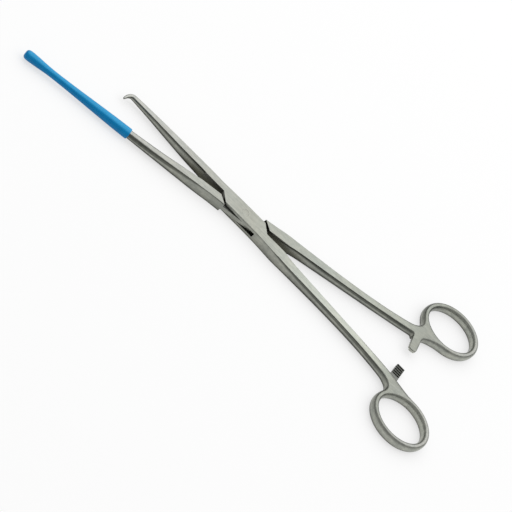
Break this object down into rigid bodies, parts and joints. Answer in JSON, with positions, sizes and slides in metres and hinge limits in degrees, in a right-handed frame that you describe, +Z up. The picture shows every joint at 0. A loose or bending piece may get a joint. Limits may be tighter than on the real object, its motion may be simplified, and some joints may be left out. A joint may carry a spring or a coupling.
{
  "type": "uterine tenaculum",
  "caption": "Long box-lock surgical tenaculum with a hooked jaw, a probe jaw in an insulating sleeve, finger rings and a ratchet, shown open.",
  "frame": {"origin": "on the pivot axis, at the underside of the box lock, on the pin's lower end", "axes": "+X from the lock towards the finger rings along the hook half's lock, +Y towards the opened probe half's ring, +Z up along the pivot axis"},
  "size_m": [0.2792, 0.0993, 0.0066],
  "materials": {
    "hook_steel": "satin",
    "probe_steel": "satin",
    "pin_steel": "satin",
    "sleeve_plastic": "satin gloss"
  },
  "bodies": {
    "hook_half": {"hook_arm": "hook_steel", "pivot_pin": "pin_steel"},
    "probe_half": {"probe_arm": "probe_steel", "probe_sleeve": "sleeve_plastic"}
  },
  "joints": [
    {"name": "lock_pivot", "type": "hinge", "parent": "hook_half", "child": "probe_half", "pos_m": [0, 0, 0.0033], "axis": [0, 0, 1], "range_deg": [-9, 20]}
  ]
}
